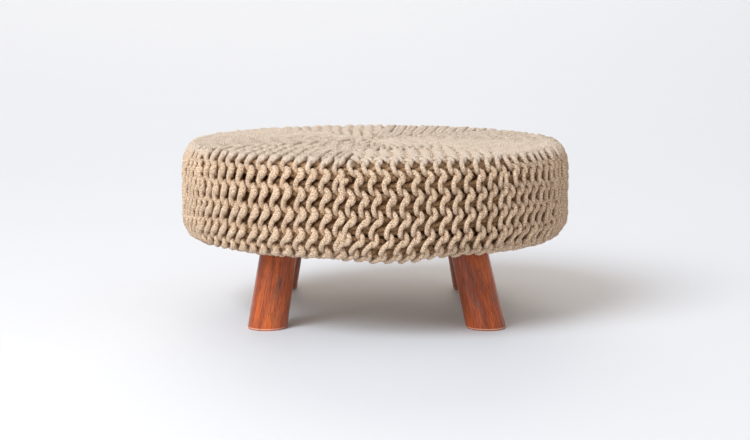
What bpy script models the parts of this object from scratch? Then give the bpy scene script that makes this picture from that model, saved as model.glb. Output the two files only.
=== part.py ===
"""Round knitted pouf on four splayed wooden legs.

The cushion is one filled body: a crowned top drawn in at the middle, an upright side, soft rims
and a flat underside. Its cover is knitted sideways in garter stitch, so raised ridges run from the
rim of the top down the side and under, in wedges that meet at the middle. Each leg is a turned,
tapered peg, cut level at foot and head, and its head sits in a shallow pocket of the underside.
Metres, +Z up, origin on the floor under the middle of the cushion, front towards -Y.
"""

import math
from collections import namedtuple

import bmesh
import bpy
from mathutils import Matrix, Vector

# Cushion: outer sizes, over the knitted ridges
RIM_RADIUS = 0.400
UNDERSIDE_HEIGHT = 0.159
SHOULDER_HEIGHT = 0.3540
CROWN_RISE = 0.0045
HUB_DRAW_IN = 0.008
HUB_RADIUS = 0.060
TOP_RIM_WIDTH, TOP_RIM_DROP = 0.030, 0.060
LOW_RIM_WIDTH, LOW_RIM_DROP = 0.038, 0.046
RIM_STEPS = 5

# Garter ridges and the wedges they are knitted in
SIDE_GROOVE = 0.0090
TOP_GROOVE = 0.0035
UNDER_GROOVE = 0.0045
WEDGE_CREASE = 0.0045
CREASE_HALF_WIDTH = 0.022

# Rings of the top from near its middle to its rim, and how deep grooves and creases are in each
TopRing = namedtuple("TopRing", "radius groove_share crease_share")
TOP_RINGS = (
    TopRing(0.018, 0.0, 0.0),
    TopRing(0.060, 0.0, 0.8),
    TopRing(0.130, 0.2, 1.0),
    TopRing(0.210, 0.5, 1.0),
    TopRing(0.290, 0.8, 1.0),
    TopRing(0.340, 1.0, 1.0),
)

# Rings of the flat underside
FLAT_UNDER_RADIUS = 0.330
UNDER_RADII = (FLAT_UNDER_RADIUS, 0.190, 0.040, 0.0)

Wedge = namedtuple("Wedge", "start_deg ridges")  # angle from the front, counterclockwise from above
WEDGES = (
    Wedge(-8.0, 13),
    Wedge(40.0, 13),
    Wedge(85.0, 13),
    Wedge(131.0, 13),
    Wedge(176.0, 12),
    Wedge(217.0, 12),
    Wedge(258.0, 12),
    Wedge(300.0, 14),
)

# Soft sags of the lower rim, and how far the side's middle and the rim's top follow them
SIDE_SAG_SHARE = 0.3
RIM_SAG_SHARE = 0.6
Sag = namedtuple("Sag", "at_deg half_width_deg drop")
SAGS = (
    Sag(4.5, 8.0, 0.0080),
    Sag(-75.0, 60.0, 0.0040),
    Sag(150.0, 40.0, 0.0025),
)

# Legs
FOOT_RADIUS = 0.0388
HEAD_RADIUS = 0.0362
FOOT_CHAMFER = 0.0016
LEG_SEAT_DEPTH = 0.008
FIT_GAP = 0.0003
LEG_SIDES = 40
LEG_SHARP_DEG = 35.0
TRIM_SHARE = 0.4  # spare length at each end of a leg before it is cut level, of its height

Leg = namedtuple("Leg", "name foot_x foot_y lean_x lean_y")  # lean: metres inwards per metre up
LEGS = (
    Leg("leg_front_left", -0.2125, -0.2135, 0.150, 0.185),
    Leg("leg_front_right", 0.2190, -0.2135, 0.222, 0.185),
    Leg("leg_back_left", -0.2140, 0.2135, 0.185, 0.185),
    Leg("leg_back_right", 0.2140, 0.2135, 0.185, 0.185),
)

COTTON = ("knitted_cotton", (0.56, 0.43, 0.31, 1.0), 0.92)
WOOD = ("lacquered_wood", (0.34, 0.09, 0.035, 1.0), 0.32)

MERGE_DISTANCE = 0.00001

# One ring of the cushion's skin: its place, the way out of it, how deep the grooves between the
# ridges and the creases between the wedges are cut there, and how far it follows the sags
Ring = namedtuple("Ring", "radius height out_r out_z groove crease sag")


def crown_height(radius):
    """Height of the top at a radius: a low crown, drawn in at the hub where the wedges meet."""
    reach = RIM_RADIUS - TOP_RIM_WIDTH
    crown = CROWN_RISE * (1.0 - (radius / reach) ** 2)
    hub = HUB_DRAW_IN * max(0.0, 1.0 - radius / HUB_RADIUS) ** 2
    return SHOULDER_HEIGHT + crown - hub


def rim_rings(width, drop, middle_height, turns, groove_from, groove_to, sag_from, sag_to):
    """Rings round a soft rim, a quarter of an ellipse between two angles of it."""
    rings = []
    start, end = turns
    for step in range(RIM_STEPS + 1):
        share = step / RIM_STEPS
        angle = math.radians(start + (end - start) * share)
        out = Vector((math.cos(angle) * drop, math.sin(angle) * width)).normalized()
        rings.append(
            Ring(
                RIM_RADIUS - width + width * math.cos(angle),
                middle_height + drop * math.sin(angle),
                out.x,
                out.y,
                groove_from + (groove_to - groove_from) * share,
                0.0,
                sag_from + (sag_to - sag_from) * share,
            )
        )
    return rings


def cushion_rings():
    """The cushion's skin as rings, from the middle of the top down to the middle underneath."""
    rings = [Ring(0.0, crown_height(0.0), 0.0, 1.0, 0.0, 0.0, 0.0)]
    for top in TOP_RINGS:
        rings.append(
            Ring(
                top.radius, crown_height(top.radius), 0.0, 1.0,
                TOP_GROOVE * top.groove_share, WEDGE_CREASE * top.crease_share, 0.0,
            )
        )
    rings += rim_rings(
        TOP_RIM_WIDTH, TOP_RIM_DROP, SHOULDER_HEIGHT - TOP_RIM_DROP, (90.0, 0.0),
        TOP_GROOVE, SIDE_GROOVE, 0.0, 0.0,
    )
    middle = (SHOULDER_HEIGHT - TOP_RIM_DROP + UNDERSIDE_HEIGHT + LOW_RIM_DROP) / 2.0
    rings.append(Ring(RIM_RADIUS, middle, 1.0, 0.0, SIDE_GROOVE, 0.0, SIDE_SAG_SHARE))
    rings += rim_rings(
        LOW_RIM_WIDTH, LOW_RIM_DROP, UNDERSIDE_HEIGHT + LOW_RIM_DROP, (0.0, -90.0),
        SIDE_GROOVE, UNDER_GROOVE, RIM_SAG_SHARE, 1.0,
    )
    for radius in UNDER_RADII:
        rings.append(Ring(radius, UNDERSIDE_HEIGHT, 0.0, -1.0, 0.0, 0.0, 0.0))
    return rings


def ridge_lines():
    """Lines down the cushion, a groove and a crest by turns.

    Each is (angle, is groove, angle to the nearest wedge seam).
    """
    lines = []
    ends = [wedge.start_deg for wedge in WEDGES[1:]] + [WEDGES[0].start_deg + 360.0]
    for wedge, end in zip(WEDGES, ends):
        step = (end - wedge.start_deg) / (2 * wedge.ridges)
        for index in range(2 * wedge.ridges):
            angle = math.radians(wedge.start_deg + index * step)
            to_seam = math.radians(min(index, 2 * wedge.ridges - index) * step)
            lines.append((angle, index % 2 == 0, to_seam))
    return lines


def sag_at(angle):
    """How far the lower rim hangs below its height at an angle from the front."""
    drop = 0.0
    for sag in SAGS:
        away = math.degrees(angle) - sag.at_deg
        away = (away + 180.0) % 360.0 - 180.0
        if abs(away) < 2.0 * sag.half_width_deg:
            drop += sag.drop * math.cos(math.radians(45.0 * away / sag.half_width_deg)) ** 2
    return drop


def skin_point(ring, line):
    """A point of the cushion's skin on a ring and a groove or crest line."""
    angle, is_groove, to_seam = line
    from_seam = min(1.0, ring.radius * to_seam / CREASE_HALF_WIDTH)
    depth = ring.crease * (1.0 - from_seam) ** 2
    if is_groove:
        depth = max(depth, ring.groove)
    radius = ring.radius - ring.out_r * depth
    height = ring.height - ring.out_z * depth - ring.sag * sag_at(angle)
    return Vector((radius * math.sin(angle), -radius * math.cos(angle), height))


def cushion_mesh():
    """A grid wrapped round the cushion's rings, closed at the seam and at both middles."""
    rings = cushion_rings()
    lines = ridge_lines()
    bm = bmesh.new()
    bmesh.ops.create_grid(bm, x_segments=len(lines), y_segments=len(rings) - 1, size=1.0)
    for vert in bm.verts:
        column = round((vert.co.x + 1.0) / 2.0 * len(lines)) % len(lines)
        row = round((1.0 - vert.co.y) / 2.0 * (len(rings) - 1))
        vert.co = skin_point(rings[row], lines[column])
    bmesh.ops.remove_doubles(bm, verts=bm.verts, dist=MERGE_DISTANCE)
    bmesh.ops.dissolve_degenerate(bm, edges=bm.edges, dist=MERGE_DISTANCE)
    bmesh.ops.recalc_face_normals(bm, faces=bm.faces)
    return bm


def leg_mesh(leg, low, high, wider):
    """A tapered peg leaning inwards from its foot at the origin, cut level at two heights."""
    height = UNDERSIDE_HEIGHT + LEG_SEAT_DEPTH
    spare = TRIM_SHARE * height
    taper = (HEAD_RADIUS - FOOT_RADIUS) / height
    inwards = Vector((-math.copysign(leg.lean_x, leg.foot_x), -math.copysign(leg.lean_y, leg.foot_y), 1.0))
    bm = bmesh.new()
    bmesh.ops.create_cone(
        bm, cap_ends=True, segments=LEG_SIDES,
        radius1=FOOT_RADIUS - taper * spare + wider,
        radius2=HEAD_RADIUS + taper * spare + wider,
        depth=height + 2.0 * spare,
        matrix=Matrix.Translation((0.0, 0.0, height / 2.0)),
    )
    lean = Vector((0.0, 0.0, 1.0)).rotation_difference(inwards)
    bmesh.ops.rotate(bm, verts=bm.verts, matrix=lean.to_matrix())
    for cut, keep_above in ((low, True), (high, False)):
        made = bmesh.ops.bisect_plane(
            bm, geom=bm.verts[:] + bm.edges[:] + bm.faces[:], dist=MERGE_DISTANCE,
            plane_co=(0.0, 0.0, cut), plane_no=(0.0, 0.0, 1.0),
            clear_inner=keep_above, clear_outer=not keep_above,
        )
        rim = [part for part in made["geom_cut"] if isinstance(part, bmesh.types.BMEdge)]
        bmesh.ops.contextual_create(bm, geom=rim)
    bmesh.ops.recalc_face_normals(bm, faces=bm.faces)
    return bm


def chamfer_foot(bm):
    """Takes the sharp edge off the foot, which is the face at height zero."""
    rim = [edge for edge in bm.edges if all(abs(vert.co.z) < MERGE_DISTANCE for vert in edge.verts)]
    bmesh.ops.bevel(
        bm, geom=rim, offset=FOOT_CHAMFER, offset_type="OFFSET", segments=1,
        affect="EDGES", clamp_overlap=True,
    )


def material(name, color, roughness):
    """A Principled material with the piece's own colour and roughness."""
    made = bpy.data.materials.new(name)
    made.use_nodes = True
    shader = made.node_tree.nodes["Principled BSDF"]
    shader.inputs["Base Color"].default_value = color
    shader.inputs["Roughness"].default_value = roughness
    shader.inputs["Metallic"].default_value = 0.0
    made.diffuse_color = color
    return made


def add_object(name, bm, collection, parent, location=(0.0, 0.0, 0.0)):
    """Makes an object of a mesh, in a collection and under a parent."""
    mesh = bpy.data.meshes.new(name)
    bm.to_mesh(mesh)
    bm.free()
    obj = bpy.data.objects.new(name, mesh)
    obj.location = location
    obj.parent = parent
    collection.objects.link(obj)
    return obj


def cut_pocket(cushion, cutter):
    """Presses a pocket for a leg's head into the cushion's underside."""
    modifier = cushion.modifiers.new("pocket_" + cutter.name, "BOOLEAN")
    modifier.operation = "DIFFERENCE"
    modifier.solver = "EXACT"
    modifier.object = cutter


def build_pouf():
    for obj in list(bpy.data.objects):
        bpy.data.objects.remove(obj, do_unlink=True)

    parts = bpy.data.collections.new("knitted_pouf")
    guides = bpy.data.collections.new("pouf_cutters")
    for collection in (parts, guides):
        bpy.context.scene.collection.children.link(collection)
    guides.hide_render = True

    root = bpy.data.objects.new("pouf_origin", None)
    parts.objects.link(root)
    cotton = material(*COTTON)
    wood = material(*WOOD)

    cushion = add_object("knitted_cushion", cushion_mesh(), parts, root)
    cushion.data.materials.append(cotton)

    head_height = UNDERSIDE_HEIGHT + LEG_SEAT_DEPTH
    for leg in LEGS:
        foot = (leg.foot_x, leg.foot_y, 0.0)
        bm = leg_mesh(leg, 0.0, head_height - FIT_GAP, 0.0)
        chamfer_foot(bm)
        peg = add_object(leg.name, bm, parts, root, foot)
        peg.data.materials.append(wood)
        peg.data.shade_smooth()
        peg.data.set_sharp_from_angle(angle=math.radians(LEG_SHARP_DEG))

        pocket = leg_mesh(leg, UNDERSIDE_HEIGHT - LEG_SEAT_DEPTH, head_height, FIT_GAP)
        cutter = add_object(leg.name + "_pocket", pocket, guides, root, foot)
        cutter.hide_render = True
        cutter.display_type = "WIRE"
        cut_pocket(cushion, cutter)


build_pouf()
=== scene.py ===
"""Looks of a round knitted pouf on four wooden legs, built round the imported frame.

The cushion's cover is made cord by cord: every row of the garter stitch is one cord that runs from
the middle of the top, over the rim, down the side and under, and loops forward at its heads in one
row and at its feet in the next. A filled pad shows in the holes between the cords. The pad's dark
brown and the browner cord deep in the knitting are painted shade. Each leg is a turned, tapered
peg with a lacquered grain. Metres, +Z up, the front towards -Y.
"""

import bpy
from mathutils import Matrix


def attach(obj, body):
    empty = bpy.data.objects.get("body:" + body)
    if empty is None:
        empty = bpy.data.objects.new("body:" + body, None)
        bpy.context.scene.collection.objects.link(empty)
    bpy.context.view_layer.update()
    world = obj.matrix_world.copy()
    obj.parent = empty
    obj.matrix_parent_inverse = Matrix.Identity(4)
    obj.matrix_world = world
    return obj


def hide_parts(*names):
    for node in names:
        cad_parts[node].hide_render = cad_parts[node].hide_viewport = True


bl_info = {
    "name": "Knitted pouf",
    "version": (1, 0, 0),
    "blender": (4, 5, 0),
    "location": "3D View > Sidebar > Pouf",
    "description": "A round pouf in a hand-knitted cord cover, on turned wooden legs",
    "category": "Object",
}

import math
from collections import namedtuple

import bmesh
import bpy
import numpy as np
from mathutils import Matrix, Vector

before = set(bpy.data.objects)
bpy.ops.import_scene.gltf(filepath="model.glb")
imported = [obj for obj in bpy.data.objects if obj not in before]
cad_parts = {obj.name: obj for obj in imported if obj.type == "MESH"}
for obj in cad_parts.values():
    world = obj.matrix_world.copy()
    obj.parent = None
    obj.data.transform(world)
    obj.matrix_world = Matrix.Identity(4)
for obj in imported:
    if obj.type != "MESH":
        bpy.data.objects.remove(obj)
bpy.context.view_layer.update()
MM_PER_METRE = 1000.0
TINY = 1e-6
LEVEL_WITHIN = 1e-5

CUSHION_NODE = "knitted_cushion"
BODY = "root"

# Cushion: outer sizes, over the crests of the knitting
RIM_RADIUS = 0.400
UNDER_HEIGHT = 0.159
SHOULDER_HEIGHT = 0.3540
CROWN_RISE = 0.0045
HUB_DRAW_IN = 0.008
HUB_RADIUS = 0.060
TOP_RIM_WIDTH, TOP_RIM_DROP = 0.030, 0.060
LOW_RIM_WIDTH, LOW_RIM_DROP = 0.038, 0.046
FLAT_UNDER_RADIUS = 0.330
OUTLINE_STEPS = 300

# Wedges of the knitting: where each starts, and its garter ridges of two rows
Wedge = namedtuple("Wedge", "start_deg ridges")
WEDGES = (
    Wedge(-8.0, 13), Wedge(40.0, 13), Wedge(85.0, 13), Wedge(131.0, 13),
    Wedge(176.0, 12), Wedge(217.0, 12), Wedge(258.0, 12), Wedge(300.0, 14),
)

# Soft sags of the lower rim
Sag = namedtuple("Sag", "at_deg half_width_deg drop")
SAGS = (Sag(4.5, 8.0, 0.0080), Sag(-75.0, 60.0, 0.0040), Sag(150.0, 40.0, 0.0025))

# One stitch, in millimetres along the row and across it, and out of the cover in loop depths.
# A head row loops forward at its head, and a foot row at its foot.
STITCH_LENGTH = 38.6
TIP_HEIGHT = 0.256
HEAD_ROW = (
    (-0.8, 0.2, -0.3), (1.5, 1.6, 0.4), (5.0, 4.0, 0.85), (10.5, 6.0, 1.0), (16.0, 5.8, 1.0),
    (21.0, 3.2, 0.7), (25.0, -2.0, 0.0), (28.5, -7.5, -0.7), (30.0, -14.0, -1.1), (31.0, -20.0, -1.35),
    (34.0, -24.5, -1.5), (38.0, -22.0, -1.6), (38.5, -14.0, -1.6), (37.5, -5.0, -1.4),
)
FOOT_ROW = (
    (14.0, 3.0, 0.1), (19.0, -1.5, 0.75), (25.0, -5.8, 1.0), (31.0, -7.9, 1.0), (37.0, -8.0, 1.0),
    (42.0, -7.2, 0.8), (46.0, -4.0, 0.1), (48.5, 3.5, -0.5), (50.5, 11.0, -0.85), (53.0, 17.0, -1.2),
    (56.0, 22.0, -1.5), (55.0, 16.0, -1.6), (53.0, 8.0, -0.9),
)
# The same where the knitting is looser: fuller heads, with the feet's tops beside them
LOOSE_HEAD_ROW = (
    (-0.8, 0.2, -0.3), (1.5, 4.0, 0.5), (4.0, 8.0, 0.9), (9.0, 11.0, 1.1), (14.0, 10.0, 1.2),
    (18.5, 5.5, 1.1), (21.5, -1.0, 0.4), (25.0, -7.5, -0.6), (28.5, -14.0, -1.0), (30.0, -20.0, -1.3),
    (34.0, -24.5, -1.5), (38.0, -22.0, -1.6), (38.5, -14.0, -1.6), (37.5, -5.0, -1.4),
)
LOOSE_FOOT_ROW = (
    (3.0, 8.0, 0.0), (8.0, 5.5, 0.9), (13.0, 4.0, 1.2), (19.0, -0.5, 0.9), (25.5, -4.5, 0.7),
    (32.5, -7.0, 0.6), (39.0, -7.0, 0.3), (44.0, -3.5, -0.1), (47.5, 3.5, -0.5), (50.5, 11.0, -0.85),
    (53.0, 17.0, -1.2), (55.0, 21.0, -1.5), (51.0, 16.0, -1.6), (45.0, 11.0, -1.1),
)
ROW_PITCH = 0.01232
SPLINE_STEPS = 40

# A wedge widens from each hub and levels off to its full width, this far short of the side
SOFT_FROM, SOFT_TO = 0.75, 1.25
FULL_ON_TOP, FULL_UNDER = 0.035, 0.1155
LEAST_RATIO, REACH_STEPS = 1e-4, 2000
# Where a row may end near the hubs and the rims, and how its ends dip behind
LEAST_END_RUN, END_TUCK = 0.012, 0.006
LEAST_TOP_RUN, LONGEST_UNDER_RUN = 0.03, 0.385
HUB_CLEARANCE = 0.004
END_DIP_RUN, END_DIP = 0.010, 0.006
# The cover's middle inside its crests, and the least radius that a row is turned round
MIDDLE_INSET, LEAST_RADIUS = 0.0135, 0.02

# Unevenness: the seed, the knots along a row, and broad waves: share, round, down and start
SEED = 7
STRAY_KNOTS = (60, 3)
PULL_WAVES = ((1.0, 5.0, 14.0, 1.3), (0.6, 11.0, -9.0, 0.7), (0.5, 23.0, 31.0, 2.1))

# The cord's end, coiled at the hub: turns, points a turn, radii, place inside the crests, and how deep it
# counts for the painted shade of the hollows
GATHER_TURNS, GATHER_POINTS = 2.25, 24
GATHER_INNER, GATHER_OUTER = 0.0035, 0.0245
GATHER_SINK, GATHER_DEPTH = 0.0115, 0.35

# The top's front seam swings to the right near the hub
BEND_FROM, BEND_TO = 0.030, 0.235
BEND_DEG, BEND_REACH_DEG = 16.0, 70.0

# The knitting is looser at the left
LOOSE_AT_DEG, LOOSE_WITHIN_DEG, LOOSE_FADE_DEG = -32.0, 10.0, 24.0
LOOSE_THICKER = 0.13

# How deep the loops are on the top and underneath, of their depth on the side, and where it fades
TOP_RELIEF, UNDER_RELIEF = 0.5, 0.7
TOP_RELIEF_FROM, TOP_RELIEF_TO = 0.110, 0.045
UNDER_RELIEF_FADE = 0.02

# How the knit is pushed up round a leg's head: how far out, fading over what, up to where, how much
LIFT_REACH, LIFT_FADE = 0.016, 0.014
LIFT_HEIGHT, LIFT_SPARE = 0.035, 0.001

# How far the braid is shifted from one cord to the next
CORD_MAP_SHIFT = 1.37

# Braid, tufts and nap of the cord, and how the first two paint shade into their recesses and light onto
# their raised bits
BRAID_PITCH = 0.0052
BRAID_STRANDS = 3.0
BRAID_RELIEF = 0.55
BRAID_SHADE = 0.05
TUFTS_PER_METRE = 440.0
TUFT_RELIEF = 3.6
NAP_PER_METRE = 2.2 * TUFTS_PER_METRE
NAP_RELIEF = 1.2
RECESS_SHADE_FROM, RECESS_SHADE_TO = 0.34, 0.66
RECESS_SHADE_TINT = (0.50, 0.42, 0.34, 1.0)
RAISED_LIGHT_TINT = (1.22, 1.22, 1.22, 1.0)
# From and to how deep the cord is painted browner as shade in the hollows, and the cooler light painted on
# the top, from and to how high up
HOLLOW_SHADE_FROM, HOLLOW_SHADE_TO = 0.12, 0.70
TOP_LIGHT_TINT = (0.865, 1.00, 1.20, 1.0)
TOP_LIGHT_SHARE = 0.62
TOP_LIGHT_FROM, TOP_LIGHT_TO = 0.325, 0.350

# The pad: its first sides, the share of its thickness rounded off, its swelling and its weave
PAD_SIDES = 96
PAD_ROUNDING, PAD_STEPS = 0.3, 6
SWELL_QUALITY, SWELL_FRAMES = 5, 20
THREADS_UP, THREADS_ROUND = (1200.0, 150.0, 150.0), (150.0, 150.0, 1200.0)

# Legs: the same pegs as the frame's, with rounder sides
Leg = namedtuple("Leg", "name foot_x foot_y lean_x lean_y")
LEGS = (
    Leg("leg_front_left", -0.2125, -0.2135, 0.150, 0.185),
    Leg("leg_front_right", 0.2190, -0.2135, 0.222, 0.185),
    Leg("leg_back_left", -0.2140, 0.2135, 0.185, 0.185),
    Leg("leg_back_right", 0.2140, 0.2135, 0.185, 0.185),
)
FOOT_RADIUS = 0.0388
HEAD_RADIUS = 0.0362
LEG_SEAT_DEPTH = 0.008
FIT_GAP = 0.0003
# The share of its height that a peg is longer at both ends before it is cut
SPARE_LENGTH = 0.4
FOOT_BEVEL_STEPS = 3
SMOOTH_BELOW_DEG = 32.0

# The wood: how its patterns are stretched, and the step in them from one leg to the next
BROAD_STRETCH = (24.0, 24.0, 4.0)
LINE_STRETCH = (210.0, 210.0, 9.0)
PORE_STRETCH = (700.0, 700.0, 60.0)
GREY_STRETCH = (30.0, 30.0, 11.0)
GRAIN_STEP = (0.37, 0.21, 0.53)
GREY_SHARE = 0.75
# The pale band painted round the foot's bevel as its highlight: heights, fading and strength
FOOT_HIGHLIGHT_FROM, FOOT_HIGHLIGHT_TO = 0.0018, 0.0034
FOOT_HIGHLIGHT_FADE_IN, FOOT_HIGHLIGHT_FADE_OUT = 0.0006, 0.0012
FOOT_HIGHLIGHT_SHARE = 0.55

# Stage: the broad far lights from the front left, low behind and low in front, and the rest
Sun = namedtuple("Sun", "name way spread_deg color")
SUNS = (
    Sun("key", (0.8, 0.75, -1.0), 34.0, (0.87, 1.0, 1.12)),
    Sun("back", (0.1, -1.0, -0.4), 40.0, (1.0, 0.90, 0.78)),
    Sun("fill", (0.20, 1.0, -0.14), 12.0, (1.0, 0.96, 0.92)),
)
SKY_COLOR = (1.0, 0.935, 0.875, 1.0)
BOX_COLOR = (1.0, 0.93, 0.84)
BOX_SIZE = 1.5
BOX_AIM = (0.0, 0.0, 0.2)
FLOOR_SIZE = 400.0
SENSOR_WIDTH = 36.0
CLIP_END = 500.0

# A mottle's strength for its amount, and a Mix node's share, two colours and mixed colour
MOTTLE_SPREAD = 4.0
MIX_INPUTS, MIX_OUTPUT = (0, 6, 7), 2

# What every colour setting has in common
COLOR_FIELD = {"subtype": "COLOR", "size": 4, "min": 0.0, "max": 1.0}


# ---- settings


class PoufCoverSettings(bpy.types.PropertyGroup):
    """Sizes and colours of the knitted cover."""

    cord_radius: bpy.props.FloatProperty(
        name="Cord radius", description="Half the thickness of the cord",
        default=0.0048, min=0.002, max=0.010, unit="LENGTH",
    )
    loop_depth: bpy.props.FloatProperty(
        name="Loop depth", description="How far the loops stand in front of and behind the cover's middle",
        default=0.0075, min=0.002, max=0.015, unit="LENGTH",
    )
    points_per_stitch: bpy.props.IntProperty(
        name="Points per stitch", description="Rings of points along one stitch of a cord",
        default=18, min=8, max=40,
    )
    cord_sides: bpy.props.IntProperty(
        name="Cord sides", description="Sides of the cord's round section", default=7, min=5, max=16,
    )
    loop_unevenness: bpy.props.FloatProperty(
        name="Loop unevenness", description="How far one loop of a cord strays from its even place",
        default=0.0005, min=0.0, max=0.003, unit="LENGTH",
    )
    stitch_unevenness: bpy.props.FloatProperty(
        name="Stitch unevenness", description="How far one stitch strays from its even place",
        default=0.0010, min=0.0, max=0.003, unit="LENGTH",
    )
    pull: bpy.props.FloatProperty(
        name="Pull", description="How far broad stretches of the knitting are pulled up or down",
        default=0.0016, min=0.0, max=0.006, unit="LENGTH",
    )
    cord_color: bpy.props.FloatVectorProperty(
        name="Cord", description="Colour of the cotton cord",
        default=(0.80, 0.61, 0.445, 1.0), **COLOR_FIELD,
    )
    # Painted shade: the cord is mixed towards this browner colour where it lies deep in the knitting.
    hollow_shade_color: bpy.props.FloatVectorProperty(
        name="Hollows", description="Colour of the cord deep in the knitting",
        default=(0.60, 0.37, 0.20, 1.0), **COLOR_FIELD,
    )


class PoufPadSettings(bpy.types.PropertyGroup):
    """Sizes and colour of the filled pad inside the cover."""

    inset: bpy.props.FloatProperty(
        name="Inset", description="How far the pad starts inside the cover's crests",
        default=0.031, min=0.0, max=0.06, unit="LENGTH",
    )
    most_swell: bpy.props.FloatProperty(
        name="Most swell", description="The furthest that a point of the pad may swell",
        default=0.004, min=0.0, max=0.02, unit="LENGTH",
    )
    voxel: bpy.props.FloatProperty(
        name="Voxel", description="Size of the pad's faces before it swells",
        default=0.010, min=0.004, max=0.03, unit="LENGTH",
    )
    pressure: bpy.props.FloatProperty(
        name="Pressure", description="How hard the filling pushes", default=4.0, min=0.0, max=20.0,
    )
    # Painted shade: the cloth is this dark so that the holes between the cords look shaded.
    shaded_cloth_color: bpy.props.FloatVectorProperty(
        name="Cloth", description="Colour of the pad's cloth",
        default=(0.36, 0.17, 0.065, 1.0), **COLOR_FIELD,
    )


class PoufLegSettings(bpy.types.PropertyGroup):
    """Sizes and colours of the legs."""

    sides: bpy.props.IntProperty(
        name="Sides", description="Sides of a leg's round section", default=96, min=24, max=256,
    )
    foot_bevel: bpy.props.FloatProperty(
        name="Foot bevel", description="Width of the rounding round the foot",
        default=0.0026, min=0.0, max=0.01, unit="LENGTH",
    )
    light_wood: bpy.props.FloatVectorProperty(
        name="Light wood", description="Colour between the grain lines",
        default=(0.47, 0.098, 0.019, 1.0), **COLOR_FIELD,
    )
    dark_wood: bpy.props.FloatVectorProperty(
        name="Dark wood", description="Colour of the grain lines",
        default=(0.20, 0.032, 0.010, 1.0), **COLOR_FIELD,
    )
    # Partly real figure and partly painted reflection: the grey bands also stand in for the lacquer's gloss
    # streaks.
    grey_wood: bpy.props.FloatVectorProperty(
        name="Grey figure", description="Colour of the greyish figure in the wood",
        default=(0.15, 0.085, 0.055, 1.0), **COLOR_FIELD,
    )
    # Painted highlight: a pale band round the foot's bevel, where the light catches it.
    worn_wood: bpy.props.FloatVectorProperty(
        name="Foot highlight", description="Colour of the worn edge round the foot",
        default=(0.78, 0.50, 0.36, 1.0), **COLOR_FIELD,
    )


class PoufStageSettings(bpy.types.PropertyGroup):
    """Floor, lights and camera."""

    floor_color: bpy.props.FloatVectorProperty(
        name="Floor", description="Colour of the floor",
        default=(0.625, 0.645, 0.690, 1.0), **COLOR_FIELD,
    )
    sky_strength: bpy.props.FloatProperty(
        name="Sky", description="Brightness of the even light", default=0.65, min=0.0, max=5.0,
    )
    key_strength: bpy.props.FloatProperty(
        name="Key light", description="Strength of the broad light from the front left",
        default=2.02, min=0.0, max=20.0,
    )
    back_strength: bpy.props.FloatProperty(
        name="Back light", description="Strength of the low, broad light from behind",
        default=1.25, min=0.0, max=20.0,
    )
    fill_strength: bpy.props.FloatProperty(
        name="Fill light", description="Strength of the low light from the front",
        default=0.46, min=0.0, max=20.0,
    )
    box_power: bpy.props.FloatProperty(
        name="Soft box", description="Power of the soft box at the front left",
        default=36.0, min=0.0, unit="POWER",
    )
    box_place: bpy.props.FloatVectorProperty(
        name="Soft box place", description="Where the soft box hangs", subtype="TRANSLATION", size=3,
        default=(-1.6, -2.0, 1.9), unit="LENGTH",
    )
    camera_distance: bpy.props.FloatProperty(
        name="Camera distance", description="How far in front of the pouf the camera stands",
        default=3.372, min=0.5, max=20.0, unit="LENGTH",
    )
    camera_height: bpy.props.FloatProperty(
        name="Camera height", description="How high the camera stands",
        default=0.660, min=0.0, max=5.0, unit="LENGTH",
    )
    camera_pitch: bpy.props.FloatProperty(
        name="Camera pitch", description="How far the camera looks down", subtype="ANGLE",
        default=math.radians(8.04), min=0.0, max=math.radians(90.0),
    )
    camera_lens: bpy.props.FloatProperty(
        name="Camera lens", description="Focal length of the lens in millimetres",
        default=78.22, min=10.0, max=300.0,
    )


# ---- helpers


def deselect_all():
    """Leaves nothing selected."""
    if bpy.context.mode != "OBJECT":
        bpy.ops.object.mode_set(mode="OBJECT")
    bpy.ops.object.select_all(action="DESELECT")


def only(obj):
    """Selects one object and makes it active."""
    deselect_all()
    obj.select_set(True)
    bpy.context.view_layer.objects.active = obj


def apply_place(obj):
    """Puts an object's place into its mesh."""
    only(obj)
    bpy.ops.object.transform_apply(location=True, rotation=True, scale=True)


def dress(obj, material):
    """Gives a piece one material."""
    obj.data.materials.clear()
    obj.data.materials.append(material)


def new_material(name):
    """A new node material, its nodes and links, and its Principled BSDF."""
    material = bpy.data.materials.new(name)
    material.use_nodes = True
    tree = material.node_tree
    return material, tree, tree.nodes["Principled BSDF"]


def add_node(tree, kind, **values):
    """Adds a shader node of a kind and sets its properties."""
    node = tree.nodes.new("ShaderNode" + kind)
    for key, value in values.items():
        setattr(node, key, value)
    return node


def feed(node, **values):
    """Sets a node's inputs by name, with _ for a space."""
    for key, value in values.items():
        node.inputs[key.replace("_", " ")].default_value = value
    return node


def join(tree, value, socket):
    """Feeds an input from another node's output, or with a number or colour."""
    if hasattr(value, "is_output"):
        tree.links.new(value, socket)
    elif value is not None:
        socket.default_value = value


def maths(tree, operation, first, second=None):
    """A Math node on sockets or numbers; returns its output."""
    node = add_node(tree, "Math", operation=operation)
    join(tree, first, node.inputs[0])
    join(tree, second, node.inputs[1])
    return node.outputs[0]


def times(tree, first, second):
    """The product of two sockets or numbers."""
    return maths(tree, "MULTIPLY", first, second)


def plus(tree, first, second):
    """The sum of two sockets or numbers."""
    return maths(tree, "ADD", first, second)


def mix(tree, share, first, second, mode="MIX"):
    """A Mix node on sockets or colours; returns its colour."""
    node = add_node(tree, "Mix", data_type="RGBA", blend_type=mode)
    for value, place in zip((share, first, second), MIX_INPUTS):
        join(tree, value, node.inputs[place])
    return node.outputs[MIX_OUTPUT]


def shaded(tree, color, shade):
    """A colour made darker or lighter by a shade about one."""
    grey = add_node(tree, "CombineColor")
    for socket in grey.inputs[:3]:
        join(tree, shade, socket)
    return mix(tree, 1.0, color, grey.outputs[0], "MULTIPLY")


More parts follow.
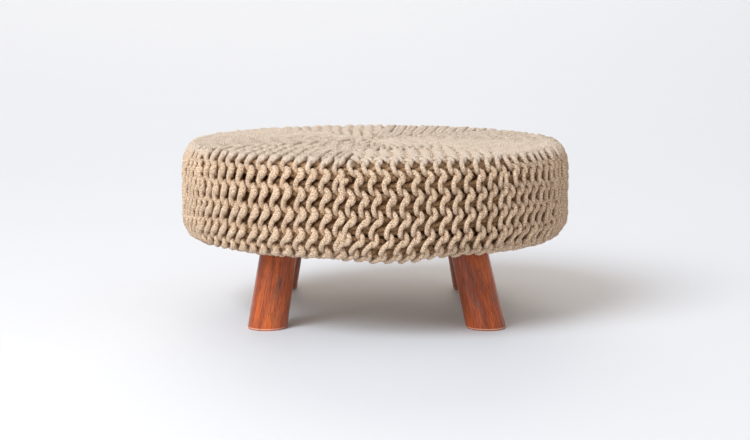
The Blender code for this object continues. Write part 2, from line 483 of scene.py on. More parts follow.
def remap(tree, value, low, high, to_low=0.0, to_high=1.0):
    """A Map Range node on a value; returns its output."""
    node = add_node(tree, "MapRange")
    join(tree, value, node.inputs["Value"])
    feed(node, From_Min=low, From_Max=high, To_Min=to_low, To_Max=to_high)
    return node.outputs[0]


def noise(tree, place, scale, detail=2.0, roughness=0.5, distortion=0.0):
    """A Noise texture at a place; returns its value."""
    node = add_node(tree, "TexNoise")
    feed(node, Scale=scale, Detail=detail, Roughness=roughness, Distortion=distortion)
    join(tree, place, node.inputs["Vector"])
    return node.outputs["Fac"]


def streaks(tree, place, stretch, **looks):
    """A Noise texture on a stretched place; returns its value."""
    node = feed(add_node(tree, "Mapping"), Scale=stretch)
    join(tree, place, node.inputs["Vector"])
    return noise(tree, node.outputs[0], 1.0, **looks)


def split(tree, place):
    """The X, Y and Z of a place."""
    node = add_node(tree, "SeparateXYZ")
    join(tree, place, node.inputs[0])
    return node.outputs


def own_place(tree):
    """The Object coordinates."""
    return add_node(tree, "TexCoord").outputs["Object"]


def bump(tree, shader, height, strength, distance):
    """Raises a shader's surface by a height."""
    node = feed(add_node(tree, "Bump"), Strength=strength, Distance=distance)
    join(tree, height, node.inputs["Height"])
    join(tree, node.outputs[0], shader.inputs["Normal"])


def smooth(share):
    """Eases a share that goes from 0 to 1."""
    return share * share * (3.0 - 2.0 * share)


def turned_away(angle_deg, at_deg):
    """How far an angle is from another, from -180 to 180 degrees."""
    return (angle_deg - at_deg + 180.0) % 360.0 - 180.0


# ---- cushion outline


def quarter_rim(centre_radius, centre_height, width, drop, from_deg, to_deg):
    """Points of a quarter of an ellipse, as radius and height."""
    angle = np.radians(np.linspace(from_deg, to_deg, OUTLINE_STEPS))
    return centre_radius + width * np.cos(angle), centre_height + drop * np.sin(angle)


def crown_height(radius):
    """Height of the top at a radius: a low crown, drawn in where the wedges meet."""
    crown = CROWN_RISE * (1.0 - (radius / (RIM_RADIUS - TOP_RIM_WIDTH)) ** 2)
    hub = HUB_DRAW_IN * np.maximum(0.0, 1.0 - radius / HUB_RADIUS) ** 2
    return SHOULDER_HEIGHT + crown - hub


class Outline:
    """The cushion's outline from the middle of the top to the middle underneath, by its length."""

    def __init__(self):
        top = np.linspace(0.0, RIM_RADIUS - TOP_RIM_WIDTH, OUTLINE_STEPS)
        under = np.linspace(RIM_RADIUS - LOW_RIM_WIDTH, 0.0, OUTLINE_STEPS)
        parts = (
            (top, crown_height(top)),
            quarter_rim(top[-1], SHOULDER_HEIGHT - TOP_RIM_DROP, TOP_RIM_WIDTH, TOP_RIM_DROP, 90.0, 0.0),
            quarter_rim(under[0], UNDER_HEIGHT + LOW_RIM_DROP, LOW_RIM_WIDTH, LOW_RIM_DROP, 0.0, -90.0),
            (under, np.full_like(under, UNDER_HEIGHT)),
        )
        # Each part after the first leaves out its first point, where the part before it ends
        radius, height = (
            np.concatenate([parts[0][axis]] + [part[axis][1:] for part in parts[1:]]) for axis in (0, 1)
        )
        step = np.hypot(np.diff(radius), np.diff(height))
        self.run = np.concatenate(([0.0], np.cumsum(step)))
        self.radius, self.height = radius, height
        slope = np.stack((np.gradient(radius, self.run), np.gradient(height, self.run)))
        slope /= np.linalg.norm(slope, axis=0)
        self.out_r, self.out_z = -slope[1], slope[0]
        # Where the second and third parts end: half way down the side, and at the lower rim
        self.length = self.run[-1]
        self.side_run = self.run[2 * (OUTLINE_STEPS - 1)]
        self.under_run = self.run[3 * (OUTLINE_STEPS - 1)]

    def radius_at(self, run):
        """The radius at a run down the outline."""
        return np.interp(run, self.run, self.radius)

    def sag_share(self, run):
        """How far a place follows the sags: not above the side, wholly at the lower rim."""
        flat_run = self.length - FLAT_UNDER_RADIUS
        return np.interp(run, (self.side_run, self.under_run, flat_run), (0.0, 1.0, 0.0))

    def relief(self, run):
        """How deep the loops are at a place, of their depth on the side."""
        stops = (
            self.side_run - TOP_RELIEF_FROM, self.side_run - TOP_RELIEF_TO,
            self.under_run - UNDER_RELIEF_FADE, self.under_run + UNDER_RELIEF_FADE,
        )
        return np.interp(run, stops, (TOP_RELIEF, 1.0, 1.0, UNDER_RELIEF))

    def place(self, run, angle, out):
        """Points at a run down the outline, an angle round it and a depth out of it, with normals."""
        out_r = np.interp(run, self.run, self.out_r)
        out_z = np.interp(run, self.run, self.out_z)
        radius = self.radius_at(run) + out_r * out
        height = np.interp(run, self.run, self.height) + out_z * out
        height = height - sag_at(angle) * self.sag_share(run)
        sine, cosine = np.sin(angle), np.cos(angle)
        points = np.stack((radius * sine, -radius * cosine, height), axis=-1)
        normals = np.stack((out_r * sine, -out_r * cosine, out_z), axis=-1)
        return points, normals


def sag_at(angle):
    """How far the lower rim hangs below its height at an angle from the front.

    A sag falls to half at its half width and to nothing at twice that.
    """
    drop = np.zeros_like(angle)
    for sag in SAGS:
        away = turned_away(np.degrees(angle), sag.at_deg)
        reach = 2.0 * sag.half_width_deg
        drop += np.where(np.abs(away) < reach, sag.drop * np.cos(np.radians(90.0 * away / reach)) ** 2, 0.0)
    return drop


# ---- knitting


def soft_share(ratio):
    """Rises with the ratio and levels off softly at one, as a wedge widens up to the rim."""
    ratio = np.clip(ratio, TINY, None)
    levelling = np.where(ratio > SOFT_TO, 1.0, ratio - (ratio - SOFT_FROM) ** 2)
    return np.where(ratio < SOFT_FROM, ratio, levelling)


def stitch_path(points, depth):
    """A smooth path of one stitch that meets the next, on a centripetal spline through its points.

    Returns the lengths of its points, from 0 to 1, and where they are along, across and out.
    """
    cage = np.array([(along, across, out * depth * MM_PER_METRE) for along, across, out in points])
    count = len(cage)
    shift = np.array((STITCH_LENGTH, 0.0, 0.0))

    def corner(index):
        turns, place = divmod(index, count)
        return cage[place] + turns * shift

    def gap(first, second):
        return np.linalg.norm(second - first) ** 0.5

    def between(knot, low, high, first, second):
        return (high - knot) / (high - low) * first + (knot - low) / (high - low) * second

    dense = []
    for index in range(count):
        p0, p1, p2, p3 = (corner(index + offset) for offset in (-1, 0, 1, 2))
        k1 = gap(p0, p1)
        k2 = k1 + gap(p1, p2)
        k3 = k2 + gap(p2, p3)
        for knot in np.linspace(k1, k2, SPLINE_STEPS, endpoint=False):
            a1 = between(knot, 0.0, k1, p0, p1)
            a2 = between(knot, k1, k2, p1, p2)
            a3 = between(knot, k2, k3, p2, p3)
            b1 = between(knot, 0.0, k2, a1, a2)
            b2 = between(knot, k1, k3, a2, a3)
            dense.append(between(knot, k1, k2, b1, b2))
    dense = np.array(dense)
    dense = np.vstack((dense, dense[:1] + shift)) / MM_PER_METRE
    lengths = np.concatenate(([0.0], np.cumsum(np.linalg.norm(np.diff(dense, axis=0), axis=1))))
    return lengths / lengths[-1], dense


def leg_way(leg):
    """How far a leg leans inwards for each metre of height, in x and y."""
    return -math.copysign(leg.lean_x, leg.foot_x), -math.copysign(leg.lean_y, leg.foot_y)


def leg_head_lift(points):
    """How far the cord is pushed up where a leg's head presses into the underside."""
    lift = np.zeros(len(points))
    under = points[:, 2] < UNDER_HEIGHT + LIFT_HEIGHT
    for leg in LEGS:
        middle = np.array((leg.foot_x, leg.foot_y)) + np.array(leg_way(leg)) * UNDER_HEIGHT
        away = np.hypot(points[:, 0] - middle[0], points[:, 1] - middle[1])
        near = np.clip((HEAD_RADIUS + LIFT_REACH - away) / LIFT_FADE, 0.0, 1.0)
        lift = np.maximum(lift, np.where(under, smooth(near), 0.0))
    return lift * (LEG_SEAT_DEPTH + LIFT_SPARE)


def broad_pull(angle, run):
    """Slow waves round and down the cover, from about -2 to 2, as hand knitting is never even."""
    return sum(
        share * np.sin(round_it * angle + down_it * run + start)
        for share, round_it, down_it, start in PULL_WAVES
    )


def seam_bend(outline, run, angle):
    """How far the front seam of the top swings to the right between the hub and half way out."""
    radius = outline.radius_at(run)
    on_top = run < outline.side_run
    along = np.clip((radius - BEND_FROM) / (BEND_TO - BEND_FROM), 0.0, 1.0)
    away = turned_away(np.degrees(angle), WEDGES[0].start_deg)
    near = np.clip(1.0 - np.abs(away) / BEND_REACH_DEG, 0.0, 1.0)
    bend = np.sin(math.pi * along) * smooth(near)
    return np.where(on_top, math.radians(BEND_DEG) * bend, 0.0)


def looseness(angle):
    """How loose the knitting is at an angle from the front: 1 at the front left, 0 elsewhere."""
    away = turned_away(math.degrees(angle), LOOSE_AT_DEG)
    fade = min(max((abs(away) - LOOSE_WITHIN_DEG) / LOOSE_FADE_DEG, 0.0), 1.0)
    return 1.0 - smooth(fade)


def row_cord(outline, paths, wedge_start, wedge_end, row, rows, settings, stray):
    """The middle line of one row's cord, from near the hub over the rim to near the hub underneath.

    Returns points, normals, how deep in the cover each point lies, from 0 in front to 1 behind, and
    the cord's radius.
    """
    is_head_row = row % 2 == 0
    share = 1.0 - (row + 0.5) / rows
    full_top = outline.side_run - FULL_ON_TOP
    full_under = outline.length - outline.side_run - FULL_UNDER
    ratio = np.linspace(LEAST_RATIO, SOFT_TO, REACH_STEPS)
    reach = np.interp(share, soft_share(ratio), ratio)
    first = min(max(full_top * reach - END_TUCK, LEAST_END_RUN), outline.side_run - LEAST_TOP_RUN)
    last = outline.length - min(max(full_under * reach, LEAST_END_RUN), LONGEST_UNDER_RUN)

    stitch = STITCH_LENGTH / MM_PER_METRE
    tip_run = outline.side_run + (SHOULDER_HEIGHT - TOP_RIM_DROP - TIP_HEIGHT)
    start, end = (first - tip_run) / stitch, (last - tip_run) / stitch
    stitches = np.linspace(start, end, int(round((end - start) * settings.points_per_stitch)))
    whole = np.floor(stitches)
    middle_angle = wedge_end - (wedge_end - wedge_start) * share
    loose = looseness(middle_angle)
    even_path, loose_path = (
        [np.interp(stitches - whole, lengths, path[:, axis]) for axis in range(3)]
        for lengths, path in paths[is_head_row]
    )
    along, across, out = (
        (1.0 - loose) * even + loose * slack for even, slack in zip(even_path, loose_path)
    )
    run = tip_run + whole * stitch + along
    across = across + (0.5 if is_head_row else -0.5) * ROW_PITCH
    knots = np.arange(len(stray)) - len(stray) // 2
    run, across, out = (
        value + np.interp(stitches, knots, stray[:, axis])
        for axis, value in enumerate((run, across, out))
    )
    run = run + settings.pull * broad_pull(middle_angle, run)
    run = np.clip(run, HUB_CLEARANCE, outline.length - HUB_CLEARANCE)
    from_end = np.minimum(run - first, last - run)
    out = out - np.clip(1.0 - from_end / END_DIP_RUN, 0.0, 1.0) * END_DIP

    from_under = outline.length - run
    widening = np.where(
        run < outline.length / 2.0, soft_share(run / full_top), soft_share(from_under / full_under)
    )
    inner_radius = np.maximum(outline.radius_at(run) - MIDDLE_INSET, LEAST_RADIUS)
    angle = wedge_end - (wedge_end - wedge_start) * share / widening + across / inner_radius
    angle = angle + seam_bend(outline, run, angle)
    depth = np.clip(0.5 - 0.5 * out / settings.loop_depth, 0.0, 1.0)
    relief = outline.relief(run)
    cord_radius = settings.cord_radius * (1.0 + LOOSE_THICKER * loose)
    inset = settings.loop_depth * relief + cord_radius
    points, normals = outline.place(run, angle, out * relief - inset)
    points[:, 2] += leg_head_lift(points)
    return points, normals, depth, cord_radius


def gather_cord(outline, is_under, settings):
    """The end of the cord, coiled flat where it gathers the rows at the hub."""
    count = int(GATHER_TURNS * GATHER_POINTS)
    angle = np.linspace(0.0, 2.0 * math.pi * GATHER_TURNS, count)
    from_hub = np.linspace(GATHER_INNER, GATHER_OUTER, count)
    run = outline.length - from_hub if is_under else from_hub
    points, normals = outline.place(run, angle, np.full(count, -GATHER_SINK))
    return sweep(points, normals, np.full(count, GATHER_DEPTH), settings.cord_radius, settings.cord_sides)


def sweep(points, normals, depth, radius, sides):
    """A round cord along points: its vertices, quads, face corners' lengths and turns, and depths."""
    along = np.gradient(points, axis=0)
    along /= np.linalg.norm(along, axis=1, keepdims=True)
    side = np.cross(along, normals)
    side /= np.linalg.norm(side, axis=1, keepdims=True)
    up = np.cross(side, along)
    turn = 2.0 * math.pi * np.arange(sides) / sides
    ring = np.cos(turn)[None, :, None] * side[:, None, :] + np.sin(turn)[None, :, None] * up[:, None, :]
    verts = (points[:, None, :] + radius * ring).reshape(-1, 3)
    count = len(points)
    step = np.arange(count - 1)[:, None]
    here = np.arange(sides)[None, :]
    there = (here + 1) % sides
    quads = np.stack(
        (step * sides + here, step * sides + there, (step + 1) * sides + there, (step + 1) * sides + here),
        axis=-1,
    ).reshape(-1, 4)
    length = np.concatenate(([0.0], np.cumsum(np.linalg.norm(np.diff(points, axis=0), axis=1))))
    # A quad's corners: two at its ring, two at the next one, and the turns to and fro between them
    corners = np.empty((count - 1, sides, 4, 2))
    corners[:, :, :2, 0] = length[:-1, None, None]
    corners[:, :, 2:, 0] = length[1:, None, None]
    corners[:, :, (0, 3), 1] = (here / sides)[:, :, None]
    corners[:, :, (1, 2), 1] = ((here + 1) / sides)[:, :, None]
    caps = [np.arange(sides)[::-1], (count - 1) * sides + np.arange(sides)]
    return verts, quads, corners.reshape(-1, 4, 2), caps, np.repeat(depth, sides)


def cords_mesh(name, cords):
    """One mesh of many cords, each closed at both ends, with a cord map and a depth attribute."""
    base, verts, faces, sizes, maps, depths = 0, [], [], [], [], []
    for number, (points, quads, corners, caps, deep) in enumerate(cords):
        offset = np.array((number * CORD_MAP_SHIFT, 0.0))
        verts.append(points)
        depths.append(deep)
        faces.append((quads + base).ravel())
        sizes.append(np.full(len(quads), 4))
        maps.append((corners + offset).reshape(-1, 2))
        for cap in caps:
            faces.append(cap + base)
            sizes.append(np.array([len(cap)]))
            maps.append(np.tile(offset, (len(cap), 1)))
        base += len(points)
    verts, faces, sizes, maps, depths = (
        np.concatenate(arrays) for arrays in (verts, faces, sizes, maps, depths)
    )
    mesh = bpy.data.meshes.new(name)
    mesh.vertices.add(len(verts))
    mesh.vertices.foreach_set("co", verts.astype(np.float32).ravel())
    mesh.loops.add(len(faces))
    mesh.loops.foreach_set("vertex_index", faces.astype(np.int32))
    mesh.polygons.add(len(sizes))
    mesh.polygons.foreach_set("loop_start", (np.cumsum(sizes) - sizes).astype(np.int32))
    mesh.polygons.foreach_set("loop_total", sizes.astype(np.int32))
    mesh.update(calc_edges=True)
    cord_map = mesh.uv_layers.new(name="cord")
    cord_map.data.foreach_set("uv", maps.astype(np.float32).ravel())
    depth = mesh.attributes.new("depth", "FLOAT", "POINT")
    depth.data.foreach_set("value", depths.astype(np.float32))
    mesh.validate()
    mesh.shade_smooth()
    return mesh


# ---- materials


def mottle_group():
    """Soft patches of shade over cloth, cord or wood: puts out a value about one."""
    group = bpy.data.node_groups.new("soft_mottle", "ShaderNodeTree")
    inputs = (("Place", "Vector", "INPUT"), ("Scale", "Float", "INPUT"), ("Amount", "Float", "INPUT"))
    for name, kind, way in (*inputs, ("Shade", "Float", "OUTPUT")):
        group.interface.new_socket(name, in_out=way, socket_type="NodeSocket" + kind)
    inside = group.nodes.new("NodeGroupInput")
    outside = group.nodes.new("NodeGroupOutput")
    texture = feed(add_node(group, "TexNoise"), Detail=3.0, Roughness=0.55)
    join(group, inside.outputs["Place"], texture.inputs["Vector"])
    join(group, inside.outputs["Scale"], texture.inputs["Scale"])
    centred = maths(group, "SUBTRACT", texture.outputs["Fac"], 0.5)
    spread = times(group, times(group, centred, inside.outputs["Amount"]), MOTTLE_SPREAD)
    join(group, plus(group, spread, 1.0), outside.inputs["Shade"])
    return group


def mottle(tree, place, scale, amount):
    """Places the soft mottle in a material and returns its shade."""
    group = bpy.data.node_groups.get("soft_mottle") or mottle_group()
    node = add_node(tree, "Group", node_tree=group)
    feed(node, Scale=scale, Amount=amount)
    join(tree, place, node.inputs["Place"])
    return node.outputs["Shade"]


def cord_material(settings):
    """Braided cotton cord: crossing strands along the cord map, a soft nap, painted shade browner in the
    hollows and darker in the braid's recesses, painted light on its raised bits and a cooler top.
    """
    material, tree, shader = new_material("braided_cotton_cord")
    feed(shader, Roughness=0.86, Specular_IOR_Level=0.25, Sheen_Weight=0.08, Sheen_Roughness=0.4)
    cord_map = add_node(tree, "UVMap", uv_map="cord").outputs[0]
    place = own_place(tree)
    depth = add_node(tree, "Attribute", attribute_name="depth").outputs["Fac"]

    parts = split(tree, cord_map)
    length = times(tree, parts["X"], 2.0 * math.pi / BRAID_PITCH)
    turn = times(tree, parts["Y"], 2.0 * math.pi * BRAID_STRANDS)
    one_way = maths(tree, "SINE", plus(tree, length, turn))
    other_way = maths(tree, "SINE", maths(tree, "SUBTRACT", length, turn))
    strands = maths(tree, "MAXIMUM", one_way, other_way)
    nap = noise(tree, place, NAP_PER_METRE, detail=3.0, roughness=0.65)
    tufts = noise(tree, place, TUFTS_PER_METRE, detail=2.0, roughness=0.6)

    height = times(tree, strands, BRAID_RELIEF)
    height = plus(tree, height, times(tree, nap, NAP_RELIEF))
    height = plus(tree, height, times(tree, tufts, TUFT_RELIEF))
    bump(tree, shader, height, strength=1.0, distance=0.0012)

    # Painted shade: the cord turns browner the deeper it lies in the knitting.
    hollow_shade = remap(tree, depth, HOLLOW_SHADE_FROM, HOLLOW_SHADE_TO)
    color = mix(tree, hollow_shade, settings.cord_color, settings.hollow_shade_color)
    # Painted shade and light: the braid's and tufts' recesses are darkened and their raised bits lightened.
    raised = plus(tree, times(tree, strands, BRAID_SHADE), tufts)
    light_and_shade_tint = mix(tree, remap(tree, raised, RECESS_SHADE_FROM, RECESS_SHADE_TO), RECESS_SHADE_TINT, RAISED_LIGHT_TINT)
    # Painted light: the top of the cover is tinted cooler, as the light falls on it from above.
    on_top = remap(tree, split(tree, place)["Z"], TOP_LIGHT_FROM, TOP_LIGHT_TO)
    light_and_shade_tint = mix(tree, times(tree, on_top, TOP_LIGHT_SHARE), light_and_shade_tint, TOP_LIGHT_TINT)
    color = mix(tree, 1.0, color, light_and_shade_tint, "MULTIPLY")
    color = shaded(tree, color, mottle(tree, place, scale=14.0, amount=0.06))
    join(tree, color, shader.inputs["Base Color"])
    return material


def pad_material(settings):
    """Plain brown cloth of the pad, seen only deep between the cords; its dark colour is painted shade."""
    material, tree, shader = new_material("pad_cloth")
    feed(shader, Roughness=0.95, Specular_IOR_Level=0.1)
    place = own_place(tree)
    weave_x = streaks(tree, place, THREADS_UP)
    weave_z = streaks(tree, place, THREADS_ROUND)
    weave = maths(tree, "MAXIMUM", weave_x, weave_z)
    bump(tree, shader, weave, strength=0.6, distance=0.0006)
    thread_shade = remap(tree, weave, low=0.3, high=0.8, to_low=0.75, to_high=1.1)
    shade = times(tree, mottle(tree, place, scale=30.0, amount=0.15), thread_shade)
    # Painted shade: the pad's dark brown stands for the shade deep in the holes.
    color = shaded(tree, settings.shaded_cloth_color, shade)
    join(tree, color, shader.inputs["Base Color"])
    return material


def wood_material(settings):
    """Reddish brown hardwood under clear lacquer; the grain attribute runs along each leg."""
    material, tree, shader = new_material("lacquered_hardwood")
    feed(shader, Specular_IOR_Level=0.25, Coat_Weight=0.50, Coat_Roughness=0.16, Coat_IOR=1.45)
    grain = add_node(tree, "Attribute", attribute_name="grain").outputs["Vector"]
    broad = streaks(tree, grain, BROAD_STRETCH, detail=2.0, distortion=0.8)
    lines = streaks(tree, grain, LINE_STRETCH, detail=4.0, roughness=0.65, distortion=1.6)
    pores = streaks(tree, grain, PORE_STRETCH, roughness=0.55)
    grey = streaks(tree, grain, GREY_STRETCH, detail=3.0, roughness=0.6, distortion=1.0)
    figure = plus(tree, times(tree, broad, 0.5), times(tree, lines, 0.5))
    share = remap(tree, figure, low=0.40, high=0.60)
    color = mix(tree, share, settings.dark_wood, settings.light_wood)
    # Grey bands: part real wood figure, part painted reflection of the lacquer's gloss streaks.
    grey_share = remap(tree, grey, low=0.55, high=0.72, to_high=GREY_SHARE)
    color = mix(tree, grey_share, color, settings.grey_wood)
    pore_shade = remap(tree, pores, low=0.34, high=0.50, to_low=0.55, to_high=1.08)
    shade = times(tree, pore_shade, mottle(tree, grain, scale=16.0, amount=0.10))
    color = shaded(tree, color, shade)

    # Painted highlight: a pale band just above the foot, on its bevel.
    height = split(tree, own_place(tree))["Z"]
    fade_in = remap(tree, height, FOOT_HIGHLIGHT_FROM, FOOT_HIGHLIGHT_FROM + FOOT_HIGHLIGHT_FADE_IN)
    fade_out = remap(tree, height, FOOT_HIGHLIGHT_TO, FOOT_HIGHLIGHT_TO + FOOT_HIGHLIGHT_FADE_OUT, to_low=1.0, to_high=0.0)
    foot_highlight = times(tree, times(tree, fade_in, fade_out), FOOT_HIGHLIGHT_SHARE)
    color = mix(tree, foot_highlight, color, settings.worn_wood)
    join(tree, color, shader.inputs["Base Color"])

    rough = remap(tree, lines, low=0.3, high=0.7, to_low=0.46, to_high=0.34)
    join(tree, rough, shader.inputs["Roughness"])
    bump(tree, shader, plus(tree, pores, lines), strength=0.35, distance=0.0004)
    return material


def floor_material(settings):
    """Plain pale studio floor."""
    material, tree, shader = new_material("pale_floor")
    feed(shader, Roughness=0.75, Specular_IOR_Level=0.25)
    shade = mottle(tree, own_place(tree), scale=0.6, amount=0.004)
    join(tree, shaded(tree, settings.floor_color, shade), shader.inputs["Base Color"])
    return material


# ---- operators


class POUF_OT_inner_pad(bpy.types.Operator):
    """Makes the filled pad inside the cover and swells it as cloth"""

    bl_idname = "pouf.inner_pad"
    bl_label = "Inner pad"

    def execute(self, context):
        settings = context.scene.pouf_pad
        deselect_all()
        low = UNDER_HEIGHT + settings.inset
        high = SHOULDER_HEIGHT - settings.inset
        bpy.ops.mesh.primitive_cylinder_add(
            vertices=PAD_SIDES, radius=RIM_RADIUS - settings.inset, depth=high - low,
            location=(0.0, 0.0, (low + high) / 2.0),
        )
        pad = context.object
        pad.name = pad.data.name = "inner_pad"
        round_pad((high - low) * PAD_ROUNDING)
        apply_place(pad)
        voxel_faces(pad, settings.voxel)
        swell(pad, settings.pressure, settings.most_swell)
        finer = pad.modifiers.new("finer", "SUBSURF")
        finer.levels = finer.render_levels = 1
        only(pad)
        bpy.ops.object.modifier_apply(modifier=finer.name)
        pad.data.shade_smooth()
        dress(pad, pad_material(settings))
        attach(pad, BODY)
        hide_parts(CUSHION_NODE)
        return {"FINISHED"}


def round_pad(width):
    """Rounds off the edges of the pad, which is active."""
    bpy.ops.object.mode_set(mode="EDIT")
    bpy.ops.mesh.select_mode(type="EDGE")
    bpy.ops.mesh.select_all(action="SELECT")
    bpy.ops.mesh.bevel(offset=width, segments=PAD_STEPS, profile=0.5, affect="EDGES")
    bpy.ops.object.mode_set(mode="OBJECT")


def voxel_faces(obj, size):
    """Remakes a mesh with even faces."""
    only(obj)
    even = obj.modifiers.new("even", "REMESH")
    even.mode = "VOXEL"
    even.voxel_size = size
    bpy.ops.object.modifier_apply(modifier=even.name)


def swell(obj, pressure, most):
    """Swells a pad as cloth under pressure and caps how far its points move."""
    mesh = obj.data
    before = np.empty(len(mesh.vertices) * 3, dtype=np.float32)
    mesh.vertices.foreach_get("co", before)
    cloth = obj.modifiers.new("swell", "CLOTH")
    cloth.settings.use_pressure = True
    cloth.settings.uniform_pressure_force = pressure
    cloth.settings.effector_weights.gravity = 0.0
    cloth.settings.quality = SWELL_QUALITY
    scene = bpy.context.scene
    for step in range(1, SWELL_FRAMES + 1):
        scene.frame_set(step)
    only(obj)
    bpy.ops.object.modifier_apply(modifier=cloth.name)
    scene.frame_set(1)
    after = np.empty_like(before)
    mesh.vertices.foreach_get("co", after)
    move = (after - before).reshape(-1, 3)
    size = np.linalg.norm(move, axis=1, keepdims=True)
    move *= np.minimum(1.0, most / np.maximum(size, TINY))
    mesh.vertices.foreach_set("co", (before.reshape(-1, 3) + move).ravel())
    mesh.update()


class POUF_OT_knit_cover(bpy.types.Operator):
    """Knits the cover cord by cord, one piece for each wedge"""

    bl_idname = "pouf.knit_cover"
    bl_label = "Knitted cover"

    def execute(self, context):
        settings = context.scene.pouf_cover
        deselect_all()
        outline = Outline()
        random = np.random.default_rng(SEED)
        paths = [
            [stitch_path(points, settings.loop_depth) for points in pair]
            for pair in ((FOOT_ROW, LOOSE_FOOT_ROW), (HEAD_ROW, LOOSE_HEAD_ROW))
        ]
        material = cord_material(settings)
        ends = [wedge.start_deg for wedge in WEDGES[1:]] + [WEDGES[0].start_deg + 360.0]
        knitted = {}
        for number, (wedge, end) in enumerate(zip(WEDGES, ends), start=1):
            rows = 2 * wedge.ridges
            cords = []
            for row in range(rows):
                if row % 2 == 0:
                    stitch_stray = random.normal(size=STRAY_KNOTS) * settings.stitch_unevenness
                loop_stray = random.normal(size=STRAY_KNOTS) * settings.loop_unevenness
                points, normals, depth, radius = row_cord(
                    outline, paths, math.radians(wedge.start_deg), math.radians(end),
                    row, rows, settings, stitch_stray + loop_stray,
                )
                cords.append(sweep(points, normals, depth, radius, settings.cord_sides))
            knitted[f"knit_wedge_{number}"] = cords
        knitted["hub_gather_top"] = [gather_cord(outline, False, settings)]
        knitted["hub_gather_under"] = [gather_cord(outline, True, settings)]
        for name, cords in knitted.items():
            piece = bpy.data.objects.new(name, cords_mesh(name, cords))
            context.scene.collection.objects.link(piece)
            dress(piece, material)
            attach(piece, BODY)
            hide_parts(CUSHION_NODE)
        return {"FINISHED"}


class POUF_OT_legs(bpy.types.Operator):
    """Turns the four wooden legs"""

    bl_idname = "pouf.legs"
    bl_label = "Wooden legs"

    def execute(self, context):
        settings = context.scene.pouf_legs
        material = wood_material(settings)
        for number, leg in enumerate(LEGS):
            piece = turned_leg(context, leg, settings)
            mark_grain(piece, leg, number)
            dress(piece, material)
            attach(piece, BODY)
            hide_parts(leg.name)
        return {"FINISHED"}


def leg_lean(leg):
    """The rotation that leans a leg inwards from its foot."""
    return Vector((0.0, 0.0, 1.0)).rotation_difference(Vector((*leg_way(leg), 1.0)))


def turned_leg(context, leg, settings):
    """A tapered peg, leaned over and cut level at its foot and head, with a rounded foot."""
    height = UNDER_HEIGHT + LEG_SEAT_DEPTH
    spare = SPARE_LENGTH * height
    taper = (HEAD_RADIUS - FOOT_RADIUS) / height
    deselect_all()
    bpy.ops.mesh.primitive_cone_add(
        vertices=settings.sides, radius1=FOOT_RADIUS - taper * spare,
        radius2=HEAD_RADIUS + taper * spare, depth=height + 2.0 * spare,
    )
    piece = context.object
    piece.name = piece.data.name = leg.name + "_turned"
    lean = leg_lean(leg).to_matrix().to_4x4()
    foot = Matrix.Translation((leg.foot_x, leg.foot_y, 0.0))
    piece.matrix_world = foot @ lean @ Matrix.Translation((0.0, 0.0, height / 2.0))
    apply_place(piece)
    bpy.ops.object.mode_set(mode="EDIT")
    for cut, keep_above in ((0.0, True), (height - FIT_GAP, False)):
        bpy.ops.mesh.select_all(action="SELECT")
        bpy.ops.mesh.bisect(
            plane_co=(0.0, 0.0, cut), plane_no=(0.0, 0.0, 1.0), use_fill=True,
            clear_inner=keep_above, clear_outer=not keep_above,
        )
    bpy.ops.mesh.select_mode(type="EDGE")
    bpy.ops.mesh.select_all(action="DESELECT")
    bm = bmesh.from_edit_mesh(piece.data)
    for edge in bm.edges:
        edge.select = all(abs(vert.co.z) < LEVEL_WITHIN for vert in edge.verts)
    bmesh.update_edit_mesh(piece.data)
    bpy.ops.mesh.bevel(offset=settings.foot_bevel, segments=FOOT_BEVEL_STEPS, profile=0.6, affect="EDGES")
    bpy.ops.mesh.select_all(action="SELECT")
    bpy.ops.mesh.normals_make_consistent(inside=False)
    bpy.ops.object.mode_set(mode="OBJECT")
    bpy.ops.object.shade_smooth_by_angle(angle=math.radians(SMOOTH_BELOW_DEG))
    return piece


def mark_grain(piece, leg, number):
    """Stores each point's place in the leg's own upright frame, for the grain."""
    upright = leg_lean(leg).to_matrix().inverted()
    foot = Vector((leg.foot_x, leg.foot_y, 0.0))
    shift = Vector([step * number for step in GRAIN_STEP])
    places = [tuple(upright @ (vert.co - foot) + shift) for vert in piece.data.vertices]
    grain = piece.data.attributes.new("grain", "FLOAT_VECTOR", "POINT")
    grain.data.foreach_set("vector", np.array(places, dtype=np.float32).ravel())


class POUF_OT_stage(bpy.types.Operator):
    """Sets the floor, the lights and the camera"""

    bl_idname = "pouf.stage"
    bl_label = "Floor, lights and camera"

    def execute(self, context):
        settings = context.scene.pouf_stage
        deselect_all()
        bpy.ops.mesh.primitive_plane_add(size=FLOOR_SIZE, location=(0.0, 0.0, 0.0))
        floor = context.object
        floor.name = floor.data.name = "floor"
        dress(floor, floor_material(settings))
        add_sky(context, settings)
        add_suns(context, settings)
        towards = Vector(BOX_AIM) - Vector(settings.box_place)
        box = add_light(context, "soft_box", "AREA", settings.box_power, towards, BOX_COLOR)
        box.data.shape = "SQUARE"
        box.data.size = BOX_SIZE
        box.location = settings.box_place
        add_camera(context, settings)
        context.scene.view_settings.view_transform = "Standard"
        return {"FINISHED"}


def add_sky(context, settings):
    """Even, slightly warm light from all round."""
    world = bpy.data.worlds.new("studio")
    world.use_nodes = True
    background = world.node_tree.nodes["Background"]
    background.inputs["Color"].default_value = SKY_COLOR
    background.inputs["Strength"].default_value = settings.sky_strength
    context.scene.world = world


def add_light(context, name, kind, energy, way, color):
    """A light that shines one way."""
    light = bpy.data.lights.new(name, kind)
    light.energy = energy
    light.color = color
    lamp = bpy.data.objects.new(name, light)
    context.scene.collection.objects.link(lamp)
    lamp.rotation_euler = Vector(way).to_track_quat("-Z", "Y").to_euler()
    return lamp


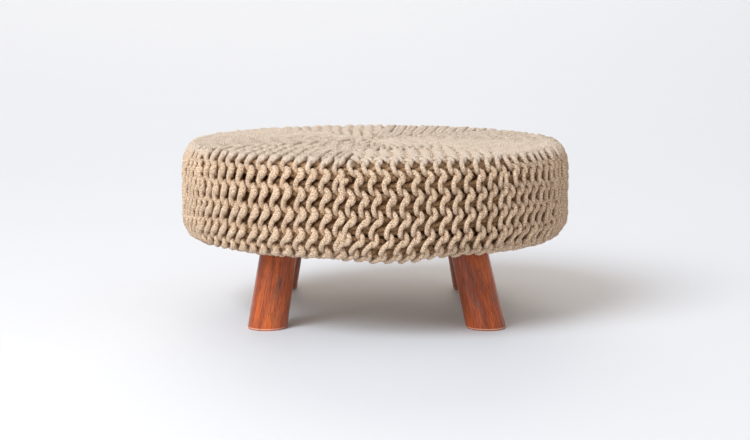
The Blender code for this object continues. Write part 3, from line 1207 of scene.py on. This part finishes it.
def add_suns(context, settings):
    """The broad far lights, each as strong as its setting."""
    for sun in SUNS:
        strength = getattr(settings, sun.name + "_strength")
        lamp = add_light(context, sun.name, "SUN", strength, sun.way, sun.color)
        lamp.data.angle = math.radians(sun.spread_deg)
        # The fill light would draw a hard streak on the lacquer
        lamp.visible_glossy = sun.name != "fill"


def add_camera(context, settings):
    """The photograph's view."""
    lens = bpy.data.cameras.new("camera")
    lens.lens = settings.camera_lens
    lens.sensor_width = SENSOR_WIDTH
    lens.clip_end = CLIP_END
    camera = bpy.data.objects.new("camera", lens)
    camera.location = (0.0, -settings.camera_distance, settings.camera_height)
    camera.rotation_euler = (math.radians(90.0) - settings.camera_pitch, 0.0, 0.0)
    context.scene.collection.objects.link(camera)
    context.scene.camera = camera


class POUF_PT_pieces(bpy.types.Panel):
    """Lists the pouf's pieces and the stage"""

    bl_idname = "POUF_PT_pieces"
    bl_label = "Knitted pouf"
    bl_space_type = "VIEW_3D"
    bl_region_type = "UI"
    bl_category = "Pouf"

    def draw(self, context):
        layout = self.layout
        for operator, group, _ in PIECES:
            box = layout.box()
            box.operator(operator.bl_idname)
            settings = getattr(context.scene, group)
            for name in settings.__annotations__:
                box.prop(settings, name)


# Each operator with the name and the class of its settings
PIECES = (
    (POUF_OT_inner_pad, "pouf_pad", PoufPadSettings),
    (POUF_OT_knit_cover, "pouf_cover", PoufCoverSettings),
    (POUF_OT_legs, "pouf_legs", PoufLegSettings),
    (POUF_OT_stage, "pouf_stage", PoufStageSettings),
)


def register():
    """Adds the settings, the operators and the panel."""
    for operator, group, settings in PIECES:
        bpy.utils.register_class(settings)
        setattr(bpy.types.Scene, group, bpy.props.PointerProperty(type=settings))
        bpy.utils.register_class(operator)
    bpy.utils.register_class(POUF_PT_pieces)


def unregister():
    """Takes away the panel, the operators and the settings."""
    bpy.utils.unregister_class(POUF_PT_pieces)
    for operator, group, settings in reversed(PIECES):
        bpy.utils.unregister_class(operator)
        delattr(bpy.types.Scene, group)
        bpy.utils.unregister_class(settings)


def main():
    """Makes every piece and the stage."""
    register()
    bpy.ops.pouf.inner_pad()
    bpy.ops.pouf.knit_cover()
    bpy.ops.pouf.legs()
    bpy.ops.pouf.stage()


if __name__ == "__main__":
    main()
